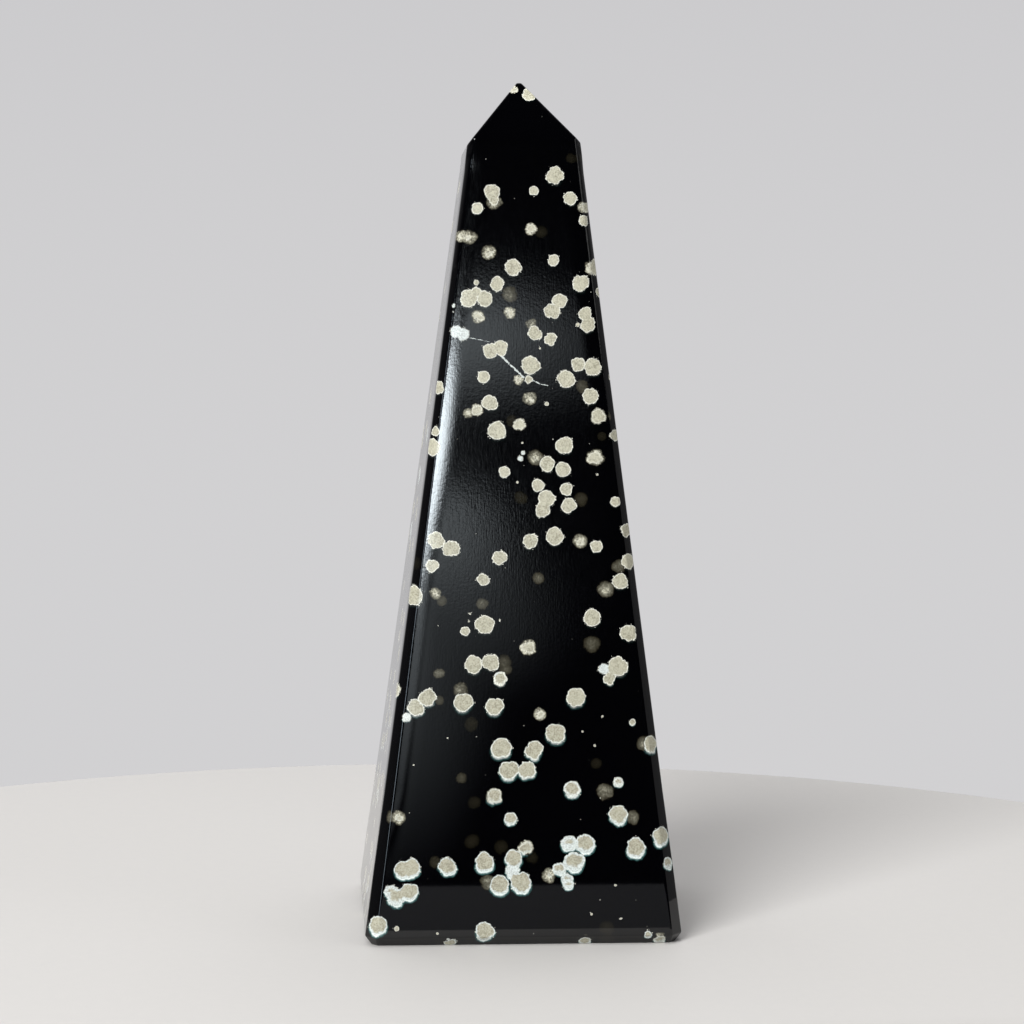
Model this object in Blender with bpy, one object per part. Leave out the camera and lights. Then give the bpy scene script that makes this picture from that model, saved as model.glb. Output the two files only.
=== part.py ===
"""A small polished obelisk of snowflake obsidian, cut from a single piece of stone.

Four tall faces taper to a shoulder, where four short facets lean in to a slightly blunted point.
The long corners are cut off flat, and so is the lower edge all round the foot.

Units are metres, with +Z up. The origin is the middle of the foot, on the surface it stands on.
The front face looks along -Y, and +X is on the right of somebody who looks at that face.
"""

import bmesh
import bpy
from mathutils import Vector

# Driving dimensions of the stone
OVERALL_HEIGHT = 0.1000
SHOULDER_HEIGHT = 0.0935
FOOT_WIDTH = 0.0375
FOOT_DEPTH = 0.0308
SHOULDER_WIDTH = 0.0131
SHOULDER_DEPTH = 0.0107

# Flat cuts along the long corners, measured along each face, and round the foot's lower edge
CORNER_CUT_AT_FOOT = 0.00125
CORNER_CUT_AT_SHOULDER = 0.00070
FOOT_CUT_HEIGHT = 0.0011
FOOT_CUT_INSET = 0.0009

# The four facets would meet here, a little to the left of the middle, but for the blunted tip
PEAK = Vector((-0.00035, 0.0, 0.1003))

# The right facet was ground a little lower than the front and back ones. The left facet
# was ground lower still, and lower at the back than at the front
RIGHT_SHOULDER_HEIGHT = 0.0932
LEFT_SHOULDER_FRONT = 0.0930
LEFT_SHOULDER_BACK = 0.0917

# A margin by which the uncut shaft runs on past the tip
UNCUT_MARGIN = 0.002

# Two corners of a cut that lie closer together than this are one corner
SAME_POINT = 0.000001

# The finish: black volcanic glass with a high polish
STONE_COLOUR = (0.006, 0.006, 0.008, 1.0)
STONE_ROUGHNESS = 0.12
STONE_METALLIC = 0.0


def remove_default_objects():
    for leftover in list(bpy.data.objects):
        bpy.data.objects.remove(leftover)


def at_height(at_foot, at_shoulder, height):
    """A measure of the shaft at a height, along the straight line of its taper."""
    return at_foot + (at_shoulder - at_foot) * height / SHOULDER_HEIGHT


def shaft_outline(height, inset=0.0):
    """The shaft's level outline, with its corners cut: eight points, anticlockwise from above."""
    half_x = at_height(FOOT_WIDTH, SHOULDER_WIDTH, height) / 2 - inset
    half_y = at_height(FOOT_DEPTH, SHOULDER_DEPTH, height) / 2 - inset
    # An inset on every side shortens a corner cut at 45 degrees by this much along each face
    shortening = (2 - 2 ** 0.5) * inset
    cut = at_height(CORNER_CUT_AT_FOOT, CORNER_CUT_AT_SHOULDER, height) - shortening
    return [
        (half_x, half_y - cut),
        (half_x - cut, half_y),
        (cut - half_x, half_y),
        (-half_x, half_y - cut),
        (-half_x, cut - half_y),
        (cut - half_x, -half_y),
        (half_x - cut, -half_y),
        (half_x, cut - half_y),
    ]


def uncut_shaft():
    """The tapered shaft with its foot, run on past the tip: one outline extruded to the next."""
    top = OVERALL_HEIGHT + UNCUT_MARGIN
    solid = bmesh.new()
    resting_corners = [solid.verts.new((x, y, 0.0)) for x, y in shaft_outline(0.0, FOOT_CUT_INSET)]
    end_face = solid.faces.new(resting_corners)
    for height in (FOOT_CUT_HEIGHT, top):
        end_face = bmesh.ops.extrude_discrete_faces(solid, faces=[end_face])["faces"][0]
        for corner, (x, y) in zip(end_face.verts, shaft_outline(height)):
            corner.co = (x, y, height)
    resting_rim = [edge for edge in solid.edges if edge.is_boundary]
    bmesh.ops.contextual_create(solid, geom=resting_rim)
    bmesh.ops.recalc_face_normals(solid, faces=solid.faces)
    return solid


def grind_flat(solid, point, outwards):
    """Takes off all that stands outside a plane, and closes the cut with one flat face."""
    everything = solid.verts[:] + solid.edges[:] + solid.faces[:]
    cut = bmesh.ops.bisect_plane(
        solid,
        geom=everything,
        dist=SAME_POINT,
        plane_co=point,
        plane_no=outwards,
        clear_outer=True,
    )
    rim = [piece for piece in cut["geom_cut"] if isinstance(piece, bmesh.types.BMEdge)]
    bmesh.ops.contextual_create(solid, geom=rim)


def facet_direction(shoulder_start, shoulder_end):
    """The upward normal of the facet that holds both ends of its shoulder line and the peak."""
    across = Vector(shoulder_end) - Vector(shoulder_start)
    normal = across.cross(PEAK - Vector(shoulder_start)).normalized()
    return normal if normal.z > 0 else -normal


def grind_point(solid):
    """The four facets over the shoulder, then the blunt tip."""
    half_x = SHOULDER_WIDTH / 2
    half_y = SHOULDER_DEPTH / 2
    shoulder_lines = [
        ((-half_x, -half_y, SHOULDER_HEIGHT), (half_x, -half_y, SHOULDER_HEIGHT)),
        ((half_x, -half_y, RIGHT_SHOULDER_HEIGHT), (half_x, half_y, RIGHT_SHOULDER_HEIGHT)),
        ((half_x, half_y, SHOULDER_HEIGHT), (-half_x, half_y, SHOULDER_HEIGHT)),
        ((-half_x, half_y, LEFT_SHOULDER_BACK), (-half_x, -half_y, LEFT_SHOULDER_FRONT)),
    ]
    for start, end in shoulder_lines:
        grind_flat(solid, PEAK, facet_direction(start, end))
    grind_flat(solid, Vector((0.0, 0.0, OVERALL_HEIGHT)), Vector((0.0, 0.0, 1.0)))


def polished_black_stone():
    finish = bpy.data.materials.new("polished_black_stone")
    finish.use_nodes = True
    shader = finish.node_tree.nodes["Principled BSDF"]
    shader.inputs["Base Color"].default_value = STONE_COLOUR
    shader.inputs["Roughness"].default_value = STONE_ROUGHNESS
    shader.inputs["Metallic"].default_value = STONE_METALLIC
    return finish


def make_obelisk():
    solid = uncut_shaft()
    grind_point(solid)
    bmesh.ops.recalc_face_normals(solid, faces=solid.faces)
    mesh = bpy.data.meshes.new("obelisk")
    solid.to_mesh(mesh)
    solid.free()
    mesh.materials.append(polished_black_stone())
    obelisk = bpy.data.objects.new("obelisk", mesh)
    bpy.context.scene.collection.objects.link(obelisk)


remove_default_objects()
make_obelisk()
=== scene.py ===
import math

import bmesh
import bpy
import numpy as np
from mathutils import Matrix, Vector
from mathutils.kdtree import KDTree


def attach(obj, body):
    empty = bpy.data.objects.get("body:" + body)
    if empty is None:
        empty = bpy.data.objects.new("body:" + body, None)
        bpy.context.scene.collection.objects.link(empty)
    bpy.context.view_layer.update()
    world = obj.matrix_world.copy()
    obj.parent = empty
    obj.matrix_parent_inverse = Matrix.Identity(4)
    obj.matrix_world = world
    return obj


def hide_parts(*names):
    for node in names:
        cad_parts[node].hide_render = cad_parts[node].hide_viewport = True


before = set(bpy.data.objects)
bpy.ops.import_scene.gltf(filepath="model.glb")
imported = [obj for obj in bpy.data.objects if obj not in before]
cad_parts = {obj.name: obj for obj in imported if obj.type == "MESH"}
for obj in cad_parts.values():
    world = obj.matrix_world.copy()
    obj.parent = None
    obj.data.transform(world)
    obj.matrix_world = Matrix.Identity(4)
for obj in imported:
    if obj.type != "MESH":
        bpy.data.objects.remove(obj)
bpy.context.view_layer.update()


# The stone: one piece of snowflake obsidian, a black volcanic glass, sawn to a tapered shaft with a
# four-sided point, then ground and polished by hand. It stands loose on its own flat foot.
OVERALL_HEIGHT = 0.1000
SHOULDER_HEIGHT = 0.0935
FOOT_WIDTH = 0.0375
FOOT_DEPTH = 0.0308
SHOULDER_WIDTH = 0.0131
SHOULDER_DEPTH = 0.0107
CORNER_CUT_AT_FOOT = 0.00125
CORNER_CUT_AT_SHOULDER = 0.00070
FOOT_CUT_HEIGHT = 0.0011
FOOT_CUT_INSET = 0.0009
PEAK = Vector((-0.00035, 0.0, 0.1003))
RIGHT_SHOULDER_HEIGHT = 0.0932
LEFT_SHOULDER_FRONT = 0.0930
LEFT_SHOULDER_BACK = 0.0917
UNCUT_MARGIN = 0.002
SAME_POINT = 0.0000005


def at_height(at_foot, at_shoulder, height):
    """A measure of the shaft at a height, along the straight line of its taper."""
    return at_foot + (at_shoulder - at_foot) * height / SHOULDER_HEIGHT


def shaft_outline(height, inset=0.0):
    """The shaft's level outline, with its corners cut: eight points, anticlockwise from above."""
    half_x = at_height(FOOT_WIDTH, SHOULDER_WIDTH, height) / 2 - inset
    half_y = at_height(FOOT_DEPTH, SHOULDER_DEPTH, height) / 2 - inset
    shortening = (2 - 2 ** 0.5) * inset
    cut = at_height(CORNER_CUT_AT_FOOT, CORNER_CUT_AT_SHOULDER, height) - shortening
    return [
        (half_x, half_y - cut),
        (half_x - cut, half_y),
        (cut - half_x, half_y),
        (-half_x, half_y - cut),
        (-half_x, cut - half_y),
        (cut - half_x, -half_y),
        (half_x - cut, -half_y),
        (half_x, cut - half_y),
    ]


def uncut_shaft():
    """The tapered shaft with its foot, run on past the tip: one outline extruded to the next."""
    solid = bmesh.new()
    resting_corners = [solid.verts.new((x, y, 0.0)) for x, y in shaft_outline(0.0, FOOT_CUT_INSET)]
    end_face = solid.faces.new(resting_corners)
    for height in (FOOT_CUT_HEIGHT, OVERALL_HEIGHT + UNCUT_MARGIN):
        end_face = bmesh.ops.extrude_discrete_faces(solid, faces=[end_face])["faces"][0]
        for corner, (x, y) in zip(end_face.verts, shaft_outline(height)):
            corner.co = (x, y, height)
    resting_rim = [edge for edge in solid.edges if edge.is_boundary]
    bmesh.ops.contextual_create(solid, geom=resting_rim)
    bmesh.ops.recalc_face_normals(solid, faces=solid.faces)
    return solid


def saw_through(solid, point, direction, keep_outside=True):
    """Cuts the stone's skin along a plane, and takes off what stands outside it if told to."""
    everything = solid.verts[:] + solid.edges[:] + solid.faces[:]
    return bmesh.ops.bisect_plane(
        solid,
        geom=everything,
        dist=SAME_POINT,
        plane_co=point,
        plane_no=direction,
        clear_outer=not keep_outside,
    )["geom_cut"]


def grind_flat(solid, point, outwards):
    cut = saw_through(solid, point, outwards, keep_outside=False)
    rim = [piece for piece in cut if isinstance(piece, bmesh.types.BMEdge)]
    bmesh.ops.contextual_create(solid, geom=rim)


def facet_direction(shoulder_start, shoulder_end):
    """The upward normal of the facet that holds both ends of its shoulder line and the peak."""
    across = Vector(shoulder_end) - Vector(shoulder_start)
    normal = across.cross(PEAK - Vector(shoulder_start)).normalized()
    return normal if normal.z > 0 else -normal


def grind_point(solid):
    """The four facets over the shoulder, then the blunt tip."""
    half_x = SHOULDER_WIDTH / 2
    half_y = SHOULDER_DEPTH / 2
    shoulder_lines = [
        ((-half_x, -half_y, SHOULDER_HEIGHT), (half_x, -half_y, SHOULDER_HEIGHT)),
        ((half_x, -half_y, RIGHT_SHOULDER_HEIGHT), (half_x, half_y, RIGHT_SHOULDER_HEIGHT)),
        ((half_x, half_y, SHOULDER_HEIGHT), (-half_x, half_y, SHOULDER_HEIGHT)),
        ((-half_x, half_y, LEFT_SHOULDER_BACK), (-half_x, -half_y, LEFT_SHOULDER_FRONT)),
    ]
    for start, end in shoulder_lines:
        grind_flat(solid, PEAK, facet_direction(start, end))
    grind_flat(solid, Vector((0.0, 0.0, OVERALL_HEIGHT)), Vector((0.0, 0.0, 1.0)))
    bmesh.ops.recalc_face_normals(solid, faces=solid.faces)


# Polishing takes every sharp arris down to a small round
ARRIS_ROUNDING = 0.00013
ARRIS_STEPS = 3
SHARPEST_FLAT = math.radians(8)


def round_arrises(solid):
    sharp = [edge for edge in solid.edges if edge.calc_face_angle() > SHARPEST_FLAT]
    bmesh.ops.bevel(
        solid,
        geom=sharp,
        offset=ARRIS_ROUNDING,
        offset_type="OFFSET",
        segments=ARRIS_STEPS,
        profile=0.5,
        affect="EDGES",
        clamp_overlap=True,
        material=-1,
    )


# The wheel also wears each tall wall down a little beside its arrises, by WORN_DROP at the arris
# itself, and ever less over WORN_WIDTH. The wear runs in over the unworn foot and runs out at the
# shoulder. WORN_LINES lie that far from the arris, so that the skin can follow it
WORN_WIDTH = 0.0020
WORN_DROP = 0.00010
UNWORN_FOOT = 0.0080
WORN_RUN_IN = 0.0100
WORN_RUN_OUT = 0.0020
WORN_LINES = (0.00025, 0.0006, 0.0010, 0.0015, WORN_WIDTH)
LINES_ACROSS_FRONT = 32
LINES_ACROSS_SIDE = 26
ROWS_UP_SHAFT = 150
ROW_UP_POINT = 0.0008


def cut_lengthwise(solid, foot_half, shoulder_half, sideways, lines_across):
    """Lines up two opposite walls, close beside the arrises and evenly spread between them."""
    lines = []
    for from_arris in WORN_LINES:
        at_foot = foot_half - CORNER_CUT_AT_FOOT - from_arris
        at_shoulder = shoulder_half - CORNER_CUT_AT_SHOULDER - from_arris
        lines += [(at_foot, at_shoulder), (-at_foot, -at_shoulder)]
    for line in range(1, lines_across):
        share = 2 * line / lines_across - 1
        lines.append((at_foot * share, at_shoulder * share))
    for start, end in lines:
        across = sideways * SHOULDER_HEIGHT + Vector((0.0, 0.0, start - end))
        saw_through(solid, sideways * start, across.normalized())


def cut_rows(solid):
    """Rows up the shaft and over the point, so that no cell of the skin is much over a millimetre."""
    height = SHOULDER_HEIGHT + ROW_UP_POINT
    while height < OVERALL_HEIGHT:
        saw_through(solid, Vector((0.0, 0.0, height)), Vector((0.0, 0.0, 1.0)))
        height += ROW_UP_POINT
    tall = [
        edge
        for edge in solid.edges
        if abs(edge.verts[0].co.z - edge.verts[1].co.z) > SHOULDER_HEIGHT / 2
    ]
    bmesh.ops.subdivide_edges(solid, edges=tall, cuts=ROWS_UP_SHAFT, use_grid_fill=True)


def wear(past_arris, cut):
    """Share of the wear, by how far a point lies past the arris, towards the corner."""
    if past_arris < -WORN_WIDTH:
        return 0.0
    if past_arris < 0.0:
        return (1 + past_arris / WORN_WIDTH) ** 2
    return max(0.0, 1 - past_arris / cut)


def wear_walls(solid):
    for point in solid.verts:
        x, y, z = point.co
        from_ends = min((z - UNWORN_FOOT) / WORN_RUN_IN, (LEFT_SHOULDER_BACK - z) / WORN_RUN_OUT)
        if from_ends <= 0.0:
            continue
        cut = at_height(CORNER_CUT_AT_FOOT, CORNER_CUT_AT_SHOULDER, z)
        past_x = abs(x) - at_height(FOOT_WIDTH, SHOULDER_WIDTH, z) / 2 + cut
        past_y = abs(y) - at_height(FOOT_DEPTH, SHOULDER_DEPTH, z) / 2 + cut
        drop = WORN_DROP * min(1.0, from_ends)
        point.co.x -= math.copysign(drop * wear(past_y, cut), x)
        point.co.y -= math.copysign(drop * wear(past_x, cut), y)


solid = uncut_shaft()
grind_point(solid)
flats = [(face.calc_center_median(), face.normal.copy()) for face in solid.faces]
round_arrises(solid)
cut_lengthwise(solid, FOOT_WIDTH / 2, SHOULDER_WIDTH / 2, Vector((1.0, 0.0, 0.0)), LINES_ACROSS_FRONT)
cut_lengthwise(solid, FOOT_DEPTH / 2, SHOULDER_DEPTH / 2, Vector((0.0, 1.0, 0.0)), LINES_ACROSS_SIDE)
cut_rows(solid)
wear_walls(solid)
bmesh.ops.recalc_face_normals(solid, faces=solid.faces)
for face in solid.faces:
    face.smooth = True
stone_mesh = bpy.data.meshes.new("polished_obelisk")
solid.to_mesh(stone_mesh)
solid.free()
stone = bpy.data.objects.new("polished_obelisk", stone_mesh)
bpy.context.scene.collection.objects.link(stone)
true_flats = stone.modifiers.new("true_flats", "WEIGHTED_NORMAL")
true_flats.mode = "FACE_AREA"
true_flats.weight = 100


# The snowflakes: round growths of pale cristobalite, 1 to 2.5 mm across, that formed in the glass
# as it cooled. The saw cuts some of them through, and others show dimly through the glass.
# Those on the front wall and its two corner cuts are given in mm, right of the middle and above
# the foot. A crisp one is cut through its middle: x, z, radius
CRISP = [
    (0.85, 98.7, 0.95), (3.54, 89.39, 1.05), (1.07, 87.55, 0.58), (-3.84, 87.4, 0.98),
    (-3.55, 86.5, 0.6), (-5.47, 85.52, 0.72), (5.33, 86.77, 0.82), (6.99, 84.17, 0.68),
    (-1.4, 78.73, 1.0), (3.4, 79.56, 0.7), (6.6, 76.93, 1.05), (-3.2, 76.83, 0.87),
    (-5.63, 76.97, 0.33), (-6.47, 75.27, 1.1), (-5.6, 75.9, 0.65), (-4.6, 75.09, 0.97),
    (4.07, 74.87, 0.9), (3.2, 73.73, 1.0), (7.07, 73.4, 0.85), (7.47, 72.07, 0.95),
    (6.2, 72.13, 0.25), (8.85, 75.85, 0.65), (1.2, 71.2, 0.86), (3.0, 70.47, 0.8),
    (-4.0, 69.13, 0.95), (-2.8, 69.4, 0.95), (1.8, 69.4, 0.12),
    (-4.75, 66.08, 0.78), (0.67, 67.42, 1.12), (0.5, 65.8, 0.48), (6.25, 67.53, 0.9),
    (7.97, 67.2, 1.05), (4.83, 65.83, 1.08), (7.7, 63.87, 0.95), (2.58, 62.97, 0.25),
    (-4.0, 63.13, 0.97), (-3.22, 59.88, 1.1), (4.67, 58.2, 1.05), (-0.25, 58.47, 0.12),
    (2.63, 56.0, 0.9), (4.5, 55.37, 0.98), (-2.33, 55.08, 0.7), (1.58, 53.53, 0.82),
    (4.87, 53.08, 0.8), (8.5, 54.8, 0.14), (-0.83, 53.9, 0.15), (10.6, 59.3, 0.75),
    (-10.0, 64.8, 0.8), (-10.4, 59.75, 0.6), (-10.75, 57.9, 1.0),
    (2.54, 52.0, 1.0), (2.14, 50.76, 0.95), (5.2, 51.2, 0.93), (10.64, 51.66, 0.66),
    (0.6, 47.1, 0.95), (3.56, 47.6, 1.04), (8.4, 46.44, 0.8), (12.0, 48.3, 0.9),
    (12.3, 44.6, 1.0), (11.2, 42.4, 0.95), (7.96, 38.16, 1.08), (12.14, 36.4, 1.03),
    (-2.9, 45.14, 0.93), (-4.84, 42.64, 0.75), (-4.7, 37.4, 1.15), (-6.96, 36.7, 0.6),
    (-6.36, 38.7, 0.12), (-6.5, 37.8, 0.12), (-2.9, 37.96, 0.1), (-10.3, 47.2, 1.0),
    (-8.56, 46.3, 1.05), (-10.74, 44.24, 0.82), (-12.95, 40.8, 1.25),
    (-5.95, 32.8, 1.1), (-4.0, 33.07, 1.05), (10.97, 32.5, 1.25), (9.9, 31.1, 0.8),
    (6.0, 28.9, 1.18), (-11.3, 29.05, 1.05), (-12.7, 27.9, 1.0), (-7.15, 28.4, 1.17),
    (-3.5, 27.9, 1.1), (3.6, 24.7, 1.25), (12.67, 25.95, 0.42), (14.95, 23.3, 1.05),
    (-2.8, 23.08, 1.27), (1.05, 22.8, 1.15), (-1.82, 20.47, 1.2), (0.23, 20.5, 1.12),
    (-9.0, 24.3, 0.1), (-12.95, 21.2, 0.1), (6.77, 24.95, 0.12), (9.1, 26.7, 0.14),
    (8.2, 23.3, 0.14), (11.0, 15.3, 1.15), (16.15, 12.6, 1.2), (13.05, 11.3, 1.2),
    (-1.65, 14.85, 0.8), (-1.27, 10.2, 1.1), (-0.43, 7.4, 1.25), (-2.87, 7.15, 1.2),
    (-4.7, 9.8, 1.2), (-9.0, 9.4, 1.1), (-13.3, 9.2, 1.15), (-14.3, 9.0, 1.0),
    (-13.5, 6.5, 1.1), (-17.3, 2.6, 1.25), (-4.7, 1.75, 1.15), (-8.75, 0.0, 1.1),
    (14.5, 1.1, 0.5), (7.85, 3.65, 0.15), (11.3, 3.1, 0.12), (-10.2, 1.6, 0.15),
    (-14.95, 2.2, 0.3), (10.65, 7.0, 0.15),
]

# One that is cut above its middle has a crisp core in a soft halo: x, z, radius, core's radius
HALF_SUNK = [
    (-1.0, 99.0, 0.62, 0.35), (0.69, 83.12, 0.8, 0.5), (-4.2, 80.47, 0.95, 0.45),
    (7.93, 78.8, 1.1, 0.85), (-5.4, 73.07, 0.9, 0.55), (-1.67, 73.47, 0.85, 0.45),
    (0.58, 63.7, 0.95, 0.45), (-0.63, 65.75, 0.7, 0.35), (8.63, 61.58, 1.05, 0.85),
    (-0.58, 60.58, 0.85, 0.66), (8.25, 56.75, 1.15, 0.8), (6.5, 47.1, 0.95, 0.4),
    (0.4, 34.7, 1.1, 0.75), (1.8, 27.0, 0.85, 0.45), (2.9, 8.2, 1.0, 0.45),
    (-5.58, 62.28, 0.85, 0.6), (-6.67, 61.83, 0.7, 0.3), (0.13, 11.45, 1.0, 0.75),
    (-14.7, 15.1, 0.95, 0.3), (-14.7, 29.7, 0.95, 0.5), (-3.6, 17.5, 1.1, 0.9),
]

# One that the saw missed is seen through the glass over it: x, z, radius, glass over it
UNDER_GLASS = [
    (-3.45, 86.2, 0.95, 0.01), (6.77, 85.68, 0.75, 0.0), (1.97, 82.85, 0.8, 1.26),
    (5.39, 91.39, 0.6, 1.4), (-6.95, 82.25, 0.75, 0.03), (-6.3, 82.25, 0.9, 0.0),
    (-1.6, 75.8, 1.1, 0.34), (0.73, 72.27, 0.75, 0.11), (6.75, 65.0, 0.9, 0.52),
    (-1.5, 61.0, 0.75, 1.1), (1.33, 56.75, 1.1, 0.11), (9.0, 59.2, 0.6, 1.25),
    (10.0, 66.0, 0.55, 0.03), (6.5, 51.9, 0.95, 0.75), (-0.45, 52.1, 0.9, 1.06),
    (10.9, 44.1, 0.95, 0.37), (9.5, 41.5, 1.1, 0.07), (1.6, 42.76, 0.75, 0.55),
    (-10.4, 41.04, 0.8, 0.05), (-9.6, 40.2, 0.7, 0.6), (-4.9, 39.9, 0.8, 0.44),
    (-2.45, 33.1, 1.0, 0.67), (-2.2, 32.2, 0.9, 0.51), (7.9, 35.2, 1.15, 0.44),
    (-7.5, 29.9, 1.0, 0.23), (14.0, 23.5, 1.0, 0.38), (9.4, 17.9, 1.15, 0.16),
    (-7.35, 19.65, 0.8, 0.61), (-5.95, 16.7, 0.85, 1.26), (-6.3, 25.8, 0.95, 1.13),
    (8.4, 21.3, 0.75, 1.26), (-10.0, 31.8, 0.75, 0.34), (-10.0, 28.7, 0.65, 0.67),
    (12.7, 14.9, 1.0, 0.23), (-4.45, 7.5, 1.0, 0.22), (-10.4, 9.9, 0.85, 0.87),
    (7.1, 0.6, 0.75, 0.06), (15.9, 0.8, 0.8, 0.02), (-6.1, 12.2, 1.0, 1.2),
    (-2.8, 11.5, 0.9, 1.35), (0.8, 10.2, 0.8, 1.4),
]

# Some are chalk white from the rim inwards, where they are crazed: x, z, radius, share that is white
CHALKY = [
    (-8.0, 71.3, 0.7, 1.0), (-7.2, 71.0, 0.75, 1.0), (-8.3, 74.3, 0.25, 1.0),
    (-8.35, 73.6, 0.14, 1.0), (-0.5, 56.67, 0.33, 1.0), (-0.2, 57.3, 0.25, 1.0),
    (-2.87, 31.15, 0.85, 0.15), (-3.1, 31.5, 0.4, 1.0), (9.3, 32.25, 0.65, 1.0),
    (-13.8, 26.7, 0.55, 0.8), (5.53, 18.2, 1.0, 0.1), (10.97, 19.0, 0.6, 0.2),
    (7.05, 11.9, 1.15, 0.1), (5.15, 11.95, 1.0, 0.35), (5.8, 9.8, 1.25, 0.15),
    (4.1, 8.95, 0.8, 0.15), (5.0, 7.8, 0.75, 0.3), (5.1, 7.1, 0.65, 0.3),
    (16.9, 9.4, 0.8, 0.1), (-1.5, 8.8, 0.9, 1.0), (-15.6, 6.5, 0.85, 0.35),
    (-14.9, 5.9, 1.15, 0.15),
]

MM = 0.001
FRONT_LEAN = Vector((0.0, SHOULDER_HEIGHT, (SHOULDER_DEPTH - FOOT_DEPTH) / 2)).normalized()
growth_rows = []


def seat_on_front(x, z, radius, sunk, chalk):
    """Puts a growth on the front wall, or on the corner cut beside it, sunk in by a depth."""
    cut = at_height(CORNER_CUT_AT_FOOT, CORNER_CUT_AT_SHOULDER, z)
    past_arris = abs(x) - at_height(FOOT_WIDTH, SHOULDER_WIDTH, z) / 2 + cut
    y = max(0.0, past_arris) - at_height(FOOT_DEPTH, SHOULDER_DEPTH, z) / 2
    if z > SHOULDER_HEIGHT:
        y = -SHOULDER_DEPTH / 2 * (PEAK.z - z) / (PEAK.z - SHOULDER_HEIGHT)
    centre = Vector((x, y, z)) + FRONT_LEAN * sunk
    growth_rows.append((centre, radius, chalk))


for x, z, radius in CRISP:
    seat_on_front(x * MM, z * MM, radius * MM, 0.0, 0.0)
for x, z, radius, core in HALF_SUNK:
    seat_on_front(x * MM, z * MM, radius * MM, (radius ** 2 - core ** 2) ** 0.5 * MM, 0.0)
for x, z, radius, glass in UNDER_GLASS:
    seat_on_front(x * MM, z * MM, radius * MM, (radius + glass) * MM, 0.0)
for x, z, radius, white in CHALKY:
    seat_on_front(x * MM, z * MM, radius * MM, 0.0, white)

# Elsewhere the growths lie at random in the stone, singly and in little bunches
GROWTHS_PER_CUBIC_METRE = 22e6
BUNCHED_SHARE = 0.35
BUNCHED_SIZE = 0.9
BUNCHED_APART = 1.75
CHALKY_SHARE = 0.08
DEEPEST_SEEN = 0.0012
PROUDEST_LEFT = 0.85
RADIUS_AT_FOOT = 0.00122
RADIUS_AT_TIP = 0.00100
SMALLEST_SHARE = 0.82
LARGEST_SHARE = 1.06
CLOSEST = 1.5
FACING_FRONT = -0.6
chance = np.random.default_rng(11)
flat_centres = np.array([centre for centre, normal in flats])
flat_normals = np.array([normal for centre, normal in flats])
faces_front = flat_normals[:, 1] < FACING_FRONT


def may_lie(centre, radius):
    """Tells if a growth shows on a wall other than the front one, and stands clear of the others."""
    depths = ((flat_centres - centre) * flat_normals).sum(axis=1)
    clear_of_front = depths[faces_front].min() > radius + DEEPEST_SEEN
    shows = -PROUDEST_LEFT * radius < depths.min() < radius + DEEPEST_SEEN
    apart = all(
        (centre - other).length > CLOSEST * (radius + size) / 2
        for other, size, chalk in growth_rows
    )
    return shows and clear_of_front and apart


low = np.array([-FOOT_WIDTH / 2, -FOOT_DEPTH / 2, 0.0]) - RADIUS_AT_FOOT
high = np.array([FOOT_WIDTH / 2, FOOT_DEPTH / 2, OVERALL_HEIGHT]) + RADIUS_AT_FOOT
for grown in range(round(float(np.prod(high - low)) * GROWTHS_PER_CUBIC_METRE)):
    centre = Vector(chance.uniform(low, high))
    share = min(1.0, max(0.0, centre.z / OVERALL_HEIGHT))
    usual_radius = RADIUS_AT_FOOT + (RADIUS_AT_TIP - RADIUS_AT_FOOT) * share
    radius = usual_radius * chance.uniform(SMALLEST_SHARE, LARGEST_SHARE)
    turn = Vector(chance.normal(size=3)).normalized()
    bunched = chance.uniform() < BUNCHED_SHARE
    chalk = float(chance.uniform() < CHALKY_SHARE)
    if may_lie(centre, radius):
        growth_rows.append((centre, radius, chalk))
        beside = centre + turn * radius * BUNCHED_APART
        if bunched and may_lie(beside, radius * BUNCHED_SIZE):
            growth_rows.append((beside, radius * BUNCHED_SIZE, chalk))

growth_seeds = chance.uniform(size=len(growth_rows))

# Each cell of the skin notes the growths nearest to it: where its corners lie from the growth's
# middle, in radii of the growth, and the growth's size, its own seed, how far it is underlit, and
# its chalk. Growths low in the stone are underlit: painted light from below gives them a wider and
# whiter rim, and a skirt under it that is painted light, pale, fading to painted teal shade
NOTED = 4
TRIED = 12
REACH = 0.0017
FAR_OFF = 9.0
UNDERLIT_TOP = 0.034
UNDERLIT_RUN = 0.022
FAINTEST_UNDERLIT = 0.03
SMALLEST_UNDERLIT = 0.0004
LARGEST_NOTED = 0.0020
near = KDTree(len(growth_rows))
for index, (centre, radius, chalk) in enumerate(growth_rows):
    near.insert(centre, index)
near.balance()

cell_count = len(stone_mesh.polygons)
noted = np.full((cell_count, NOTED), -1)
for cell in stone_mesh.polygons:
    found = []
    for centre, index, distance in near.find_n(cell.center, TRIED):
        rim_distance = distance - growth_rows[index][1]
        if rim_distance < REACH:
            found.append((rim_distance, index))
    for place, (rim_distance, index) in enumerate(sorted(found)[:NOTED]):
        noted[cell.index, place] = index

corner_count = len(stone_mesh.loops)
corner_points = np.empty(corner_count, dtype=np.int32)
stone_mesh.loops.foreach_get("vertex_index", corner_points)
places = np.empty(len(stone_mesh.vertices) * 3)
stone_mesh.vertices.foreach_get("co", places)
corner_places = places.reshape(-1, 3)[corner_points]
corners_per_cell = np.empty(cell_count, dtype=np.int32)
stone_mesh.polygons.foreach_get("loop_total", corners_per_cell)
corner_cells = np.repeat(np.arange(cell_count), corners_per_cell)

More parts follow.
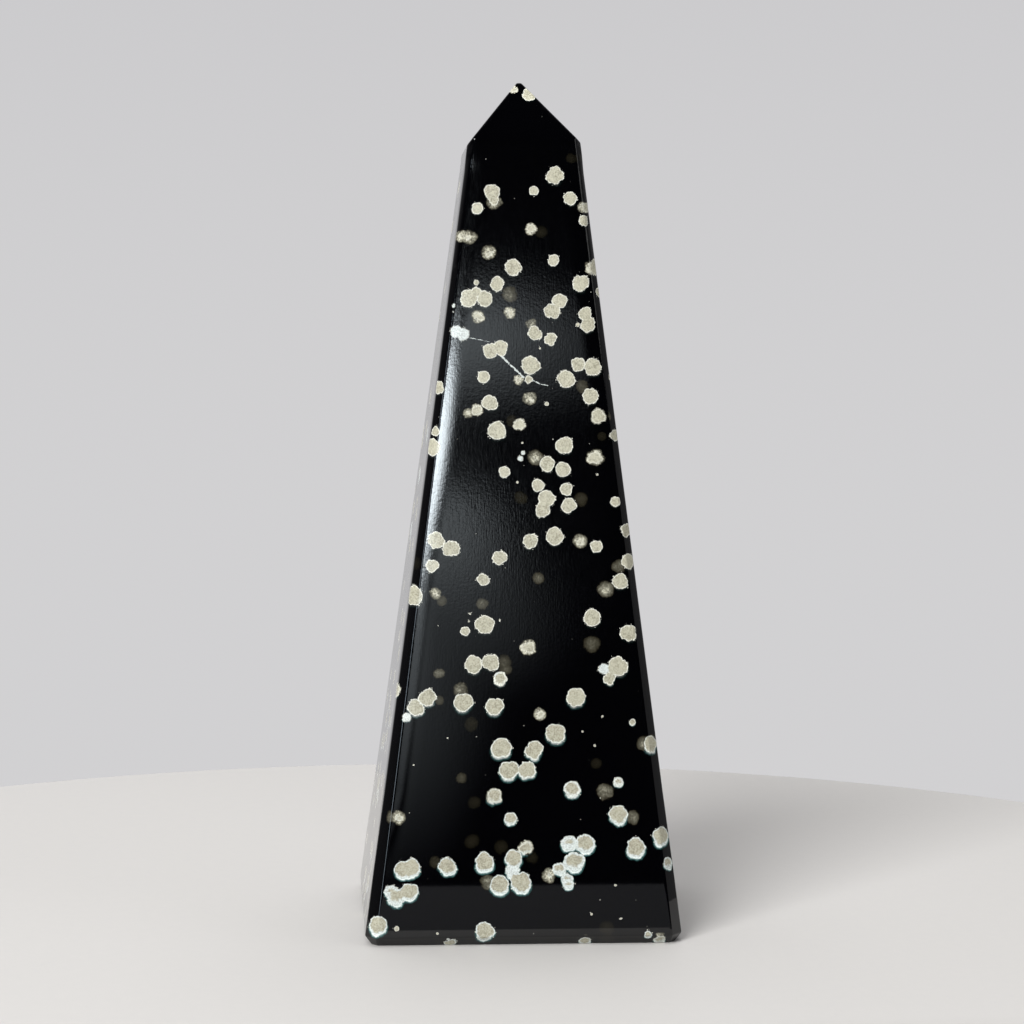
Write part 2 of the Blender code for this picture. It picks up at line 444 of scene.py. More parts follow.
growth_centres = np.array([row[0] for row in growth_rows])
growth_radii = np.array([row[1] for row in growth_rows])
growth_chalk = np.array([row[2] for row in growth_rows])
# How far each growth is underlit: painted light from below, fuller towards the foot
growth_underlit = np.clip((UNDERLIT_TOP - growth_centres[:, 2]) / UNDERLIT_RUN, FAINTEST_UNDERLIT, 1.0)
growth_underlit *= np.where(growth_radii > SMALLEST_UNDERLIT, 1.0, 0.0)
for place in range(NOTED):
    own = noted[corner_cells, place]
    offsets = (corner_places - growth_centres[own]) / growth_radii[own][:, None]
    offsets[own < 0] = FAR_OFF
    size = growth_radii[own] / LARGEST_NOTED
    make = np.stack([size, growth_seeds[own], growth_underlit[own], growth_chalk[own]], axis=1)
    make[own < 0] = (0.5, 0.0, 0.0, 0.0)
    noted_offset = stone_mesh.attributes.new(f"growth_offset_{place}", "FLOAT_VECTOR", "CORNER")
    noted_offset.data.foreach_set("vector", offsets.astype(np.float32).ravel())
    noted_make = stone_mesh.attributes.new(f"growth_make_{place}", "FLOAT_COLOR", "CORNER")
    noted_make.data.foreach_set("color", make.astype(np.float32).ravel())

# A healed crack shows as a white hairline on the front wall: start, end and width of its runs,
# in mm. Only the cells beside it note how far off it lies, and how far along a run
BESIDE_CRACK = 1.5
CRACK_RUNS = [
    ((-6.9, 70.6), (-5.87, 70.53), 0.11),
    ((-5.87, 70.53), (-4.13, 70.13), 0.11),
    ((-2.8, 68.6), (-1.67, 67.5), 0.20),
    ((-1.67, 67.5), (-0.08, 66.0), 0.22),
    ((0.83, 65.8), (1.83, 65.25), 0.15),
    ((1.83, 65.25), (2.75, 65.1), 0.09),
]
run_starts = np.array([start for start, end, width in CRACK_RUNS])
run_vectors = np.array([np.subtract(end, start) for start, end, width in CRACK_RUNS])
run_widths = np.array([width for start, end, width in CRACK_RUNS])
run_lengths = np.linalg.norm(run_vectors, axis=1)
run_lines = run_vectors / run_lengths[:, None]

cell_middles = np.empty(cell_count * 3)
stone_mesh.polygons.foreach_get("center", cell_middles)
cell_middles = cell_middles.reshape(-1, 3) / MM
cell_from_run = cell_middles[:, None, [0, 2]] - run_starts
cell_along = np.clip((cell_from_run * run_lines).sum(axis=2), 0, run_lengths)
cell_gaps = np.linalg.norm(cell_from_run - cell_along[:, :, None] * run_lines, axis=2)
cell_runs = cell_gaps.argmin(axis=1)
beside_crack = (cell_gaps.min(axis=1) < BESIDE_CRACK) & (cell_middles[:, 1] < 0)
own_run = cell_runs[corner_cells]
from_run = corner_places[:, [0, 2]] / MM - run_starts[own_run]
run_line = run_lines[own_run]
crack = np.zeros((corner_count, 3))
crack[:, 0] = from_run[:, 0] * run_line[:, 1] - from_run[:, 1] * run_line[:, 0]
crack[:, 1] = (from_run * run_line).sum(axis=1) / run_lengths[own_run]
crack[:, 2] = run_widths[own_run]
crack[~beside_crack[corner_cells]] = (FAR_OFF, 0.0, 0.0)
noted_crack = stone_mesh.attributes.new("crack", "FLOAT_VECTOR", "CORNER")
noted_crack.data.foreach_set("vector", crack.astype(np.float32).ravel())

# The finish: black glass with a high polish, and cream-grey growths that take it a little less.
# A growth's outline is swollen into bulges with notches between them, ragged and gritty. Widths
# and depths are in mm, and the rest are shares of a growth's radius or of a full effect
GLASS_BLACK = (0.0006, 0.0006, 0.0010, 1.0)
CREAM = (0.610, 0.595, 0.465, 1.0)
CREAM_DARK = (0.340, 0.322, 0.240, 1.0)
RIM_PALE = (0.880, 0.880, 0.770, 1.0)
CHALK_WHITE = (0.720, 0.780, 0.755, 1.0)
SEEN_THROUGH_GLASS = (0.520, 0.460, 0.290, 1.0)
# The next two are painted light and painted teal shade on the sunk underside of underlit growths
SKIRT_LIT_WHITE = (0.840, 0.920, 0.900, 1.0)
SKIRT_SHADOW_TEAL = (0.060, 0.160, 0.155, 1.0)
GLASS_DIMMING = 3.2
VEIL_GROWTH = 0.7
FULL_REACH = 1.03
BULGES = 0.26
BULGE_FINENESS = 1.25
LEANING = 0.45
LEANING_FINENESS = 0.9
SMOOTHEST = 0.10
RAGGED = 0.35
RAGGED_FINENESS = 3.6
GRITTY = 0.16
GRITTY_CHALK = 0.25
GRIT_FINENESS = 13.0
SEED_SHUFFLE = 7.3
FLATTEST = 0.09
EDGE_SOFTNESS = 0.03
SOFTNESS_SUNK = 0.16
SOFTNESS_CHALK = 0.04
RIM_WIDTH = 0.10
# The next two widen the rim of underlit growths as painted light from below, most on the underside
RIM_UNDERLIT = 0.02
RIM_BELOW = 0.13
WHITE_ABOVE = 0.7
WHITE_BELOW = 0.5
CORE_GRAZED = 0.4
# How far down the painted light of an underlit growth's skirt is drawn, in radii
LIT_SKIRT_DROP = 0.24
OWN_SHIFT = (31.0, 17.0, 47.0)


def work_on(tree):
    """From here on, new nodes and links go into this node tree."""
    global nodes, links
    nodes = tree.nodes
    links = tree.links


def feed(socket, value):
    """Sets a socket to a number or a colour, or links another node's output to it."""
    if isinstance(value, bpy.types.NodeSocket):
        links.new(value, socket)
    else:
        socket.default_value = value


def figure(operation, *terms):
    """A sum on single numbers. Each term is a number or another node's output."""
    sum_node = nodes.new("ShaderNodeMath")
    sum_node.operation = operation
    for socket, term in zip(sum_node.inputs, terms):
        feed(socket, term)
    return sum_node.outputs[0]


def direction(operation, *terms):
    """The same on directions and colours."""
    sum_node = nodes.new("ShaderNodeVectorMath")
    sum_node.operation = operation
    vector_sockets = [socket for socket in sum_node.inputs if socket.name == "Vector"]
    for socket, term in zip(vector_sockets, terms):
        feed(socket, term)
    return sum_node


def scaled(vector, amount):
    sum_node = direction("SCALE", vector)
    feed(sum_node.inputs["Scale"], amount)
    return sum_node.outputs["Vector"]


def fade(value, start, end, low=0.0, high=1.0):
    """Goes smoothly from low to high as value goes from start to end."""
    ramp = nodes.new("ShaderNodeMapRange")
    ramp.interpolation_type = "SMOOTHSTEP"
    for socket, term in zip(ramp.inputs, (value, start, end, low, high)):
        feed(socket, term)
    return ramp.outputs[0]


def blended(share, first, second):
    mix = nodes.new("ShaderNodeMix")
    mix.data_type = "RGBA"
    for name, term in (("Factor_Float", share), ("A_Color", first), ("B_Color", second)):
        feed(next(socket for socket in mix.inputs if socket.identifier == name), term)
    return next(socket for socket in mix.outputs if socket.identifier == "Result_Color")


def noted_as(name):
    reader = nodes.new("ShaderNodeAttribute")
    reader.attribute_name = name
    return reader.outputs


def grain(place, scale, detail=2.0, roughness=0.5):
    noise = nodes.new("ShaderNodeTexNoise")
    for name, term in (("Vector", place), ("Scale", scale), ("Detail", detail), ("Roughness", roughness)):
        feed(noise.inputs[name], term)
    return noise.outputs["Fac"]


def spots(place, scale):
    """Scattered points: how far the nearest one lies, and a colour that is that one's own."""
    scatter = nodes.new("ShaderNodeTexVoronoi")
    feed(scatter.inputs["Vector"], place)
    feed(scatter.inputs["Scale"], scale)
    return scatter.outputs["Distance"], scatter.outputs["Color"]


obsidian = bpy.data.materials.new("snowflake_obsidian")
obsidian.use_nodes = True
work_on(obsidian.node_tree)
finish = nodes["Principled BSDF"]
outward = nodes.new("ShaderNodeNewGeometry").outputs["Normal"]
place_on_stone = nodes.new("ShaderNodeTexCoord").outputs["Object"]
stone_parts = nodes.new("ShaderNodeSeparateXYZ")
feed(stone_parts.inputs[0], place_on_stone)
up_stone = stone_parts.outputs[2]

inside = []
cuts = []
cores = []
whites = []
tones = []
sunk_and_underlit_colours = []
for place in range(NOTED):
    offset = noted_as(f"growth_offset_{place}")["Vector"]
    make = noted_as(f"growth_make_{place}")
    parts = nodes.new("ShaderNodeSeparateColor")
    feed(parts.inputs[0], make["Color"])
    radius = figure("MULTIPLY", parts.outputs[0], LARGEST_NOTED / MM)
    seed = parts.outputs[1]
    underlit = parts.outputs[2]
    chalk = make["Alpha"]

    own_shift = scaled(OWN_SHIFT, seed)
    side = direction("NORMALIZE", offset).outputs["Vector"]
    own_side = direction("ADD", side, own_shift).outputs["Vector"]
    own_place = direction("ADD", offset, own_shift).outputs["Vector"]
    from_bulge = spots(own_side, BULGE_FINENESS)[0]
    reach = figure("MULTIPLY_ADD", figure("MULTIPLY", from_bulge, from_bulge), -BULGES, FULL_REACH)
    leaning = figure("SUBTRACT", grain(own_side, LEANING_FINENESS, 1.0), 0.5)
    reach = figure("MULTIPLY_ADD", leaning, LEANING, reach)
    shuffled_seed = figure("FRACT", figure("MULTIPLY", seed, SEED_SHUFFLE))
    raggedness = figure("MULTIPLY_ADD", shuffled_seed, RAGGED, SMOOTHEST)
    ragged = figure("SUBTRACT", grain(own_place, RAGGED_FINENESS, 3.0, 0.6), 0.5)
    reach = figure("MULTIPLY_ADD", ragged, raggedness, reach)
    grittiness = figure("MULTIPLY_ADD", chalk, GRITTY_CHALK, GRITTY)
    gritty = figure("SUBTRACT", grain(own_place, GRIT_FINENESS, 2.0, 0.7), 0.5)
    reach = figure("MULTIPLY_ADD", gritty, grittiness, reach)

    reach_squared = figure("MULTIPLY", reach, reach)
    distance_squared = direction("DOT_PRODUCT", offset, offset).outputs["Value"]
    sunk = direction("DOT_PRODUCT", offset, outward).outputs["Value"]
    sunk_squared = figure("MULTIPLY", sunk, sunk)
    margin = figure("SUBTRACT", reach_squared, distance_squared)
    slope_squared = figure("SUBTRACT", reach_squared, sunk_squared)
    slope = figure("SQRT", figure("MAXIMUM", slope_squared, FLATTEST))
    from_rim = figure("MULTIPLY", figure("DIVIDE", margin, figure("MULTIPLY", slope, 2.0)), radius)
    inside.append(from_rim)

    side_parts = nodes.new("ShaderNodeSeparateXYZ")
    feed(side_parts.inputs[0], side)
    # On underlit growths the rim is widened, most on the underside, as painted light from below
    below = fade(side_parts.outputs[2], -0.9, 0.4, 1.0, 0.0)
    underlit_width = figure("MULTIPLY_ADD", below, RIM_BELOW, RIM_UNDERLIT)
    rim_width = figure("MULTIPLY_ADD", underlit_width, underlit, RIM_WIDTH)
    white_share = figure("MULTIPLY_ADD", below, WHITE_BELOW, WHITE_ABOVE)
    white_width = figure("MULTIPLY", figure("MULTIPLY", chalk, radius), white_share)
    rim_width = figure("ADD", rim_width, white_width)
    rim_width = figure("MULTIPLY", rim_width, fade(radius, 0.1, 0.7, 0.3, 1.0))
    past_rim = figure("DIVIDE", from_rim, rim_width)
    grazed = fade(sunk, 0.25, 0.6)
    cores.append(figure("MAXIMUM", fade(past_rim, 0.65, 1.2), figure("MULTIPLY", grazed, CORE_GRAZED)))
    softness = figure("MULTIPLY_ADD", grazed, SOFTNESS_SUNK, EDGE_SOFTNESS)
    softness = figure("MULTIPLY_ADD", chalk, SOFTNESS_CHALK, softness)
    is_cut = fade(figure("DIVIDE", from_rim, softness), -1.0, 1.0)
    cuts.append(is_cut)
    # The rim is white where a growth is chalky, and where it is underlit as painted light
    whites.append(figure("MULTIPLY", figure("MAXIMUM", chalk, underlit), is_cut))
    tones.append(figure("MULTIPLY", seed, is_cut))

    height_squared = figure("MAXIMUM", figure("ADD", margin, sunk_squared), 0.0)
    glass_over = figure("MULTIPLY", figure("SUBTRACT", sunk, figure("SQRT", height_squared)), radius)
    patchy = fade(glass_over, 0.0, 0.9, 1.2, 0.15)
    glass_over = figure("MULTIPLY_ADD", figure("MULTIPLY", ragged, patchy), -1.0, glass_over)
    veil = figure("POWER", figure("MAXIMUM", glass_over, 0.0), VEIL_GROWTH)
    seen = figure("EXPONENT", figure("MULTIPLY", veil, -GLASS_DIMMING))
    seen = figure("MULTIPLY", seen, fade(sunk, 0.0, 0.2))
    seen = figure("MULTIPLY", seen, fade(height_squared, 0.0, 0.40))
    dimmed = blended(fade(glass_over, 0.0, 1.2), CREAM, SEEN_THROUGH_GLASS)
    sunk_and_underlit_colours.append(scaled(dimmed, seen))

    # The skirt: painted light on the sunk underside of an underlit growth, pale nearer the growth and
    # painted teal shade at its outer edge
    lower = direction("ADD", offset, (0.0, 0.0, LIT_SKIRT_DROP)).outputs["Vector"]
    lower_squared = direction("DOT_PRODUCT", lower, lower).outputs["Value"]
    lit_skirt_margin = figure("SUBTRACT", reach_squared, lower_squared)
    lit_skirt = figure("MULTIPLY", fade(lit_skirt_margin, -0.35, 0.25), underlit)
    lit_skirt = figure("MULTIPLY", lit_skirt, fade(slope, 0.45, 0.8))
    lit_skirt_colour = blended(fade(lit_skirt_margin, 0.0, 0.35), SKIRT_SHADOW_TEAL, SKIRT_LIT_WHITE)
    sunk_and_underlit_colours.append(scaled(lit_skirt_colour, lit_skirt))


def largest(values):
    most = values[0]
    for value in values[1:]:
        most = figure("MAXIMUM", most, value)
    return most


from_rim = largest(inside)
core = largest([figure("MULTIPLY", core, is_cut) for core, is_cut in zip(cores, cuts)])
whiteness = largest(whites)
tone = largest(tones)
sunk_and_underlit_colour = sunk_and_underlit_colours[0]
for other in sunk_and_underlit_colours[1:]:
    sunk_and_underlit_colour = direction("MAXIMUM", sunk_and_underlit_colour, other).outputs["Vector"]
cut_through = largest(cuts)

# A cut growth is grainy cream, greyer towards the foot, inside a pale rim. Finenesses on the stone
# are in grains to the metre
MOTTLE_FINENESS = 5600.0
CLOUD_FINENESS = 1500.0
OWN_TONE = 0.3
mottle = grain(place_on_stone, MOTTLE_FINENESS, 3.0, 0.6)
cloud = grain(place_on_stone, CLOUD_FINENESS, 2.0, 0.5)
grainy = figure("MULTIPLY_ADD", mottle, 0.75, figure("MULTIPLY", cloud, 0.25))
body_tone = blended(fade(grainy, 0.36, 0.60), CREAM_DARK, CREAM)
body_tone = blended(figure("MULTIPLY", fade(tone, 0.2, 1.0), OWN_TONE), body_tone, CREAM)
body_tone = scaled(body_tone, fade(up_stone, 0.0, 0.085, 0.80, 1.0))
# The rim's white comes from chalk, and on underlit growths it is painted light
rim_tone = blended(whiteness, RIM_PALE, CHALK_WHITE)
rim_tone = scaled(rim_tone, fade(mottle, 0.35, 0.60, 0.66, 1.0))
growth_colour = blended(core, rim_tone, body_tone)

# Tiny pale specks lie between the growths, and crumbs close round each growth. Their sizes are
# shares of the room between them
SPECK_FINENESS = 900.0
SPECK_SIZE = 0.065
CRUMB_FINENESS = 5200.0
CRUMB_SIZE = 0.42
CRUMBS_AT_RIM = 0.53
speck_gap, speck_colour = spots(place_on_stone, SPECK_FINENESS)
speck_parts = nodes.new("ShaderNodeSeparateColor")
feed(speck_parts.inputs[0], speck_colour)
speck_size = fade(speck_parts.outputs[0], 0.55, 1.0, 0.0, SPECK_SIZE)
is_speck = fade(figure("SUBTRACT", speck_size, speck_gap), -0.005, 0.02)
is_speck = figure("MULTIPLY", is_speck, fade(speck_parts.outputs[1], 0.0, 1.0, 0.06, 0.8))
crumb_gap, crumb_colour = spots(place_on_stone, CRUMB_FINENESS)
crumb_parts = nodes.new("ShaderNodeSeparateColor")
feed(crumb_parts.inputs[0], crumb_colour)
fewest = fade(from_rim, -0.38, -0.05, 1.0, CRUMBS_AT_RIM)
crumb_size = fade(figure("SUBTRACT", crumb_parts.outputs[0], fewest), 0.0, 0.38, 0.0, CRUMB_SIZE)
is_crumb = fade(figure("SUBTRACT", crumb_size, crumb_gap), -0.02, 0.08)
is_crumb = figure("MULTIPLY", is_crumb, fade(crumb_parts.outputs[1], 0.0, 1.0, 0.25, 1.0))
is_speck = figure("MAXIMUM", is_speck, is_crumb)

# The crack wavers in width, and breaks off where it thins out
CRACK_WAVER_FINENESS = 3400.0
CRACK_FULLEST = 0.62
CRACK_WHITENESS = 0.9
crack_parts = nodes.new("ShaderNodeSeparateXYZ")
feed(crack_parts.inputs[0], noted_as("crack")["Vector"])
crack_along = crack_parts.outputs[1]
crack_waver = grain(place_on_stone, CRACK_WAVER_FINENESS, 3.0, 0.65)
crack_fullness = fade(crack_waver, 0.34, 0.62, 0.0, CRACK_FULLEST)
crack_width = figure("MULTIPLY", crack_parts.outputs[2], crack_fullness)
crack_gap = figure("SUBTRACT", crack_width, figure("ABSOLUTE", crack_parts.outputs[0]))
is_crack = fade(crack_gap, -0.025, 0.03)
is_crack = figure("MULTIPLY", is_crack, fade(crack_along, -0.03, 0.02))
is_crack = figure("MULTIPLY", is_crack, fade(crack_along, 0.98, 1.03, 1.0, 0.0))

# Black glass, under the growths seen through it and the painted light and shade of underlit skirts
stone_colour = direction("MAXIMUM", sunk_and_underlit_colour, GLASS_BLACK[:3]).outputs["Vector"]
stone_colour = blended(is_speck, stone_colour, RIM_PALE)
stone_colour = blended(figure("MULTIPLY", is_crack, CRACK_WHITENESS), stone_colour, CHALK_WHITE)
stone_colour = blended(cut_through, stone_colour, growth_colour)
feed(finish.inputs["Base Color"], stone_colour)

# The polish: fine wheel marks up the stone, deeper beside the arrises where it tipped on the wheel,
# and a ripple that mottles soft reflections. It is finest towards the foot
EDGE_MARKS_WIDTH = 0.0024
EDGE_MARKS_DEPTH = 2.4
MARKS_DEPTH = 1.6
RIPPLE_DEPTH = 1.5
GROWTH_GRAIN_DEPTH = 0.4
GLASS_ROUGHNESS = 0.020
MARKS_ROUGHNESS = 0.10
GROWTH_ROUGHNESS = 0.17
RELIEF_STRENGTH = 0.35
RELIEF_HEIGHT = 0.0000055
MARKS_FINENESS = (6000.0, 6000.0, 380.0)
MARKS_TILT = (math.radians(4), math.radians(9), 0.0)
RIPPLE_FINENESS = 3400.0
wheel_marks = nodes.new("ShaderNodeMapping")
feed(wheel_marks.inputs["Vector"], place_on_stone)
wheel_marks.inputs["Rotation"].default_value = MARKS_TILT
wheel_marks.inputs["Scale"].default_value = MARKS_FINENESS
marks = grain(wheel_marks.outputs["Vector"], 1.0, 3.0, 0.6)
ripple = grain(place_on_stone, RIPPLE_FINENESS, 2.0, 0.5)
taper = (SHOULDER_WIDTH - FOOT_WIDTH) / 2 / SHOULDER_HEIGHT
half_width = figure("MULTIPLY_ADD", up_stone, taper, FOOT_WIDTH / 2)
from_edge = figure("SUBTRACT", half_width, figure("ABSOLUTE", stone_parts.outputs[0]))
beside_edge = fade(from_edge, CORNER_CUT_AT_FOOT / 2, EDGE_MARKS_WIDTH, 1.0, 0.0)
finest = fade(up_stone, 0.008, 0.050, 0.04, 1.0)
fine_marks = figure("MULTIPLY", marks, finest)
roughness = figure("MULTIPLY_ADD", fine_marks, MARKS_ROUGHNESS, GLASS_ROUGHNESS)
roughness = figure("MULTIPLY_ADD", cut_through, GROWTH_ROUGHNESS, roughness)
feed(finish.inputs["Roughness"], roughness)
marks_depth = figure("MULTIPLY_ADD", beside_edge, EDGE_MARKS_DEPTH, MARKS_DEPTH)
surface = figure("MULTIPLY_ADD", marks, marks_depth, figure("MULTIPLY", ripple, RIPPLE_DEPTH))
surface = figure("MULTIPLY", surface, finest)
growth_grain = figure("MULTIPLY", mottle, cut_through)
surface = figure("MULTIPLY_ADD", growth_grain, GROWTH_GRAIN_DEPTH, surface)
relief = nodes.new("ShaderNodeBump")
relief.inputs["Strength"].default_value = RELIEF_STRENGTH
relief.inputs["Distance"].default_value = RELIEF_HEIGHT
feed(relief.inputs["Height"], surface)
feed(finish.inputs["Normal"], relief.outputs["Normal"])
finish.inputs["IOR"].default_value = 1.5
finish.inputs["Metallic"].default_value = 0.0

stone_mesh.materials.append(obsidian)
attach(stone, "root")
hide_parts("obelisk")


# The floor: a plain round slab with a pale matt face and a rounded rim. The stone stands on it,
# nearer to its back edge than to its front one.
FLOOR_RADIUS = 0.141
FLOOR_THICKNESS = 0.016
FLOOR_RIM_ROUNDING = 0.0012
FLOOR_MIDDLE = Vector((-0.009, -0.054, 0.0))
FLOOR_COLOUR = (0.560, 0.545, 0.525, 1.0)
FLOOR_SHADED = (0.536, 0.524, 0.508, 1.0)
FLOOR_MOTTLE_FINENESS = 700.0
FLOOR_TOOTH_FINENESS = 2500.0
FLOOR_TOOTH_HEIGHT = 0.00004

slab = bmesh.new()
bmesh.ops.create_cone(
    slab,
    cap_ends=True,
    segments=256,
    radius1=FLOOR_RADIUS,
    radius2=FLOOR_RADIUS,
    depth=FLOOR_THICKNESS,
    matrix=Matrix.Translation(FLOOR_MIDDLE - Vector((0.0, 0.0, FLOOR_THICKNESS / 2))),
)
rims = [edge for edge in slab.edges if edge.calc_face_angle() > math.radians(60)]
bmesh.ops.bevel(
    slab,
    geom=rims,
    offset=FLOOR_RIM_ROUNDING,
    segments=4,
    profile=0.5,
    affect="EDGES",
    material=-1,
)
for face in slab.faces:
    face.smooth = len(face.verts) == 4
slab_mesh = bpy.data.meshes.new("floor")
slab.to_mesh(slab_mesh)
slab.free()
floor = bpy.data.objects.new("floor", slab_mesh)
bpy.context.scene.collection.objects.link(floor)

matt_face = bpy.data.materials.new("pale_matt_floor")
matt_face.use_nodes = True
work_on(matt_face.node_tree)
matt = nodes["Principled BSDF"]
on_floor = nodes.new("ShaderNodeTexCoord").outputs["Object"]
floor_mottle = grain(on_floor, FLOOR_MOTTLE_FINENESS, 4.0, 0.6)
feed(matt.inputs["Base Color"], blended(floor_mottle, FLOOR_SHADED, FLOOR_COLOUR))
matt.inputs["Roughness"].default_value = 0.65
tooth = nodes.new("ShaderNodeBump")
tooth.inputs["Strength"].default_value = 0.15
tooth.inputs["Distance"].default_value = FLOOR_TOOTH_HEIGHT
feed(tooth.inputs["Height"], grain(on_floor, FLOOR_TOOTH_FINENESS, 3.0, 0.6))
feed(matt.inputs["Normal"], tooth.outputs["Normal"])
slab_mesh.materials.append(matt_face)


# The light: a plain pale surround, large soft boxes over the stone, at the front left and at the
# right, and soft cards round the camera that show only in the polish. The surround is pale where
# the camera looks, and the stone mirrors it dark from behind the camera.
SURROUND_BELOW = (0.640, 0.635, 0.645, 1.0)
SURROUND_ABOVE = (0.520, 0.515, 0.535, 1.0)
BEHIND_CAMERA = (0.004, 0.004, 0.005, 1.0)
COOL_WHITE = (0.86, 0.95, 1.0)
COOLER_WHITE = (0.75, 0.88, 1.0)
surround = bpy.data.worlds.new("pale_surround")
surround.use_nodes = True
bpy.context.scene.world = surround
work_on(surround.node_tree)
looking = nodes.new("ShaderNodeTexCoord").outputs["Generated"]
looking_parts = nodes.new("ShaderNodeSeparateXYZ")
feed(looking_parts.inputs[0], looking)
backdrop = blended(fade(looking_parts.outputs[2], -0.15, 0.35), SURROUND_BELOW, SURROUND_ABOVE)
mirrored = blended(fade(looking_parts.outputs[1], -0.25, 0.60), BEHIND_CAMERA, backdrop)
seen_directly = nodes.new("ShaderNodeLightPath").outputs["Is Camera Ray"]
feed(nodes["Background"].inputs["Color"], blended(seen_directly, mirrored, backdrop))
nodes["Background"].inputs["Strength"].default_value = 1.0


def soft_light(name, place, target, width, height, power, colour=(1.0, 1.0, 1.0)):
    lamp = bpy.data.lights.new(name, "AREA")
    lamp.shape = "RECTANGLE"
    lamp.size = width
    lamp.size_y = height
    lamp.energy = power
    lamp.color = colour
    holder = bpy.data.objects.new(name, lamp)
    bpy.context.scene.collection.objects.link(holder)
    holder.location = place
    holder.rotation_mode = "QUATERNION"
    holder.rotation_quaternion = (Vector(target) - Vector(place)).to_track_quat("-Z", "Y")
    holder.visible_camera = False
    return lamp


soft_light("key_box", (-0.50, -0.70, 0.72), (0.0, 0.0, 0.05), 0.55, 0.55, 15.0)
soft_light("top_box", (0.00, 0.10, 1.00), (0.0, 0.0, 0.00), 0.80, 0.80, 5.0)
bpy.data.objects["top_box"].visible_glossy = False
soft_light("right_fill", (0.75, -0.30, 0.45), (0.0, 0.0, 0.05), 0.50, 0.50, 0.8)


def mirrored_card(name, place, width, height, radiance, core, roll=0.0, dark_below=None):
    """A card that shows only in the polish: even over its core, then fading out to its rim."""
    power = radiance * math.pi * width * height
    ahead = Vector(place) + Vector((0.0, 1.0, 0.0))
    card = soft_light(name, place, ahead, width, height, power, COOL_WHITE)
    holder = bpy.data.objects[name]
    rolled = Matrix.Rotation(roll, 3, "Y").to_quaternion()
    holder.rotation_quaternion = rolled @ holder.rotation_quaternion
    holder.visible_diffuse = False
    card.use_nodes = True
    work_on(card.node_tree)
    card_parts = nodes.new("ShaderNodeSeparateXYZ")
    feed(card_parts.inputs[0], nodes.new("ShaderNodeNewGeometry").outputs["Parametric"])
    across, up_card = [
        figure("MULTIPLY_ADD", card_parts.outputs[side], 2.0, -1.0) for side in (0, 1)
    ]
    squares = figure("MULTIPLY_ADD", across, across, figure("MULTIPLY", up_card, up_card))
    from_middle = figure("SQRT", squares)
    strength = fade(from_middle, core, 1.0, 1.0, 0.0)
    if dark_below is not None:
        strength = figure("MULTIPLY", strength, fade(up_card, dark_below, 1.0))
    feed(nodes["Emission"].inputs["Strength"], strength)


# The first two make the streak beside the left arris, the next two the haze in the upper half, and
# the rest the tall sheen in the middle and to its left. From the second on, each stands a
# millimetre behind the next, because a card hides another that lies in the same plane
mirrored_card("edge_card", (-0.105, -0.60, 0.131), 0.230, 0.092, 29.0, 0.32)
mirrored_card("edge_glow", (-0.050, -0.371, 0.050), 0.064, 0.104, 2.6, 0.40, dark_below=-1.3)
mirrored_card("haze_card", (0.012, -0.370, 0.1185), 0.094, 0.034, 0.50, 0.55)
mirrored_card("haze_glow", (0.010, -0.369, 0.1225), 0.060, 0.035, 1.8, 0.1)
mirrored_card("arch_card", (0.005, -0.368, 0.062), 0.027, 0.052, 2.5, 0.85, math.radians(10), -0.3)
mirrored_card("arch_glow", (0.020, -0.367, 0.058), 0.034, 0.048, 0.40, 0.0, math.radians(-12))
mirrored_card("left_glow", (-0.006, -0.366, 0.055), 0.062, 0.135, 0.85, 0.0)

# A strip on the far left draws the thin bright line along the left arris
soft_light("edge_strip", (-0.45, -0.45, 0.08), (0.0, 0.0, 0.02), 0.14, 0.24, 0.5, COOLER_WHITE)
bpy.data.objects["edge_strip"].visible_diffuse = False


# The floor shade card: painted shade, a dark sheet that lies on the floor in front of the stone, out
# of the picture, where it stands in for shade over the floor. It shows only in the polish, as a
# painted reflection: the dark band over the foot.
SHADE_CARD_WIDTH = 0.220
SHADE_CARD_DEPTH = 0.148
SHADE_CARD_PLACE = Vector((0.0, -0.120, 0.0004))
# The card's colours are painted shade, seen only as a reflection in the polish
SHADE_CARD_DARK = (0.110, 0.112, 0.118, 1.0)
SHADE_CARD_PALE = (0.130, 0.131, 0.137, 1.0)
SHADE_CARD_FINENESS = 300.0

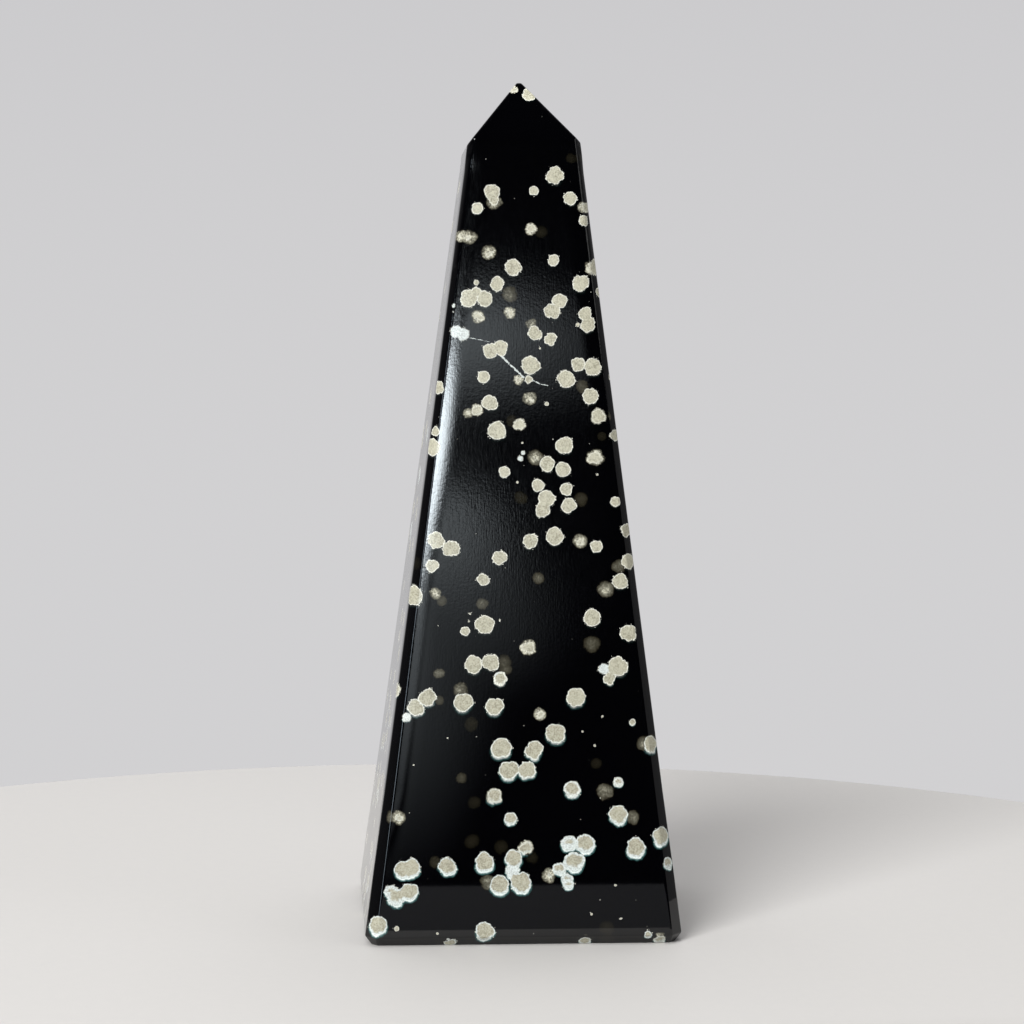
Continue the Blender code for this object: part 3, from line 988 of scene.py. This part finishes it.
card_sheet = bmesh.new()
bmesh.ops.create_grid(card_sheet, x_segments=1, y_segments=1, size=0.5)
card_size = Matrix.Diagonal((SHADE_CARD_WIDTH, SHADE_CARD_DEPTH, 1.0, 1.0))
bmesh.ops.transform(
    card_sheet,
    matrix=Matrix.Translation(SHADE_CARD_PLACE) @ card_size,
    verts=card_sheet.verts,
)
card_mesh = bpy.data.meshes.new("floor_shade_card")
card_sheet.to_mesh(card_mesh)
card_sheet.free()
floor_shade_card = bpy.data.objects.new("floor_shade_card", card_mesh)
bpy.context.scene.collection.objects.link(floor_shade_card)
floor_shade_card.visible_camera = False
floor_shade_card.visible_diffuse = False
floor_shade_card.visible_shadow = False
card_face = bpy.data.materials.new("floor_shade_card_finish")
card_face.use_nodes = True
work_on(card_face.node_tree)
shade_card_surface = nodes["Principled BSDF"]
on_card = nodes.new("ShaderNodeTexCoord").outputs["Object"]
feed(shade_card_surface.inputs["Base Color"], blended(grain(on_card, SHADE_CARD_FINENESS), SHADE_CARD_DARK, SHADE_CARD_PALE))
shade_card_surface.inputs["Roughness"].default_value = 0.9
card_mesh.materials.append(card_face)


# The camera: a little above the stone's middle and to the left of its front, with a long lens
IMAGE_SIDE = 1024
FOCAL_IN_PIXELS = 3096.44
SENSOR_WIDTH = 36.0
LEFT_TURN = math.radians(-3.97)
UPWARD = math.radians(7.5)
ROLL = math.radians(0.41)
CAMERA_DISTANCE = 0.37048
AIM_HEIGHT = 0.05015
AIM_RIGHT = -0.000782
AIM_UP = -0.000993
NEAREST_SEEN = 0.01

back = Vector(
    (
        math.sin(LEFT_TURN) * math.cos(UPWARD),
        -math.cos(LEFT_TURN) * math.cos(UPWARD),
        math.sin(UPWARD),
    )
)
level_right = Vector((math.cos(LEFT_TURN), math.sin(LEFT_TURN), 0.0))
level_up = back.cross(level_right)
camera_right = level_right * math.cos(ROLL) + level_up * math.sin(ROLL)
camera_up = level_up * math.cos(ROLL) - level_right * math.sin(ROLL)
aim = Vector((0.0, 0.0, AIM_HEIGHT)) + camera_right * AIM_RIGHT + camera_up * AIM_UP
camera_place = aim + back * CAMERA_DISTANCE

lens = bpy.data.cameras.new("camera")
lens.sensor_width = SENSOR_WIDTH
lens.lens = FOCAL_IN_PIXELS * SENSOR_WIDTH / IMAGE_SIDE
lens.clip_start = NEAREST_SEEN
camera = bpy.data.objects.new("camera", lens)
bpy.context.scene.collection.objects.link(camera)
turned = Matrix((camera_right, camera_up, back)).transposed().to_4x4()
camera.matrix_world = Matrix.Translation(camera_place) @ turned
bpy.context.scene.camera = camera
bpy.context.scene.view_settings.view_transform = "Standard"
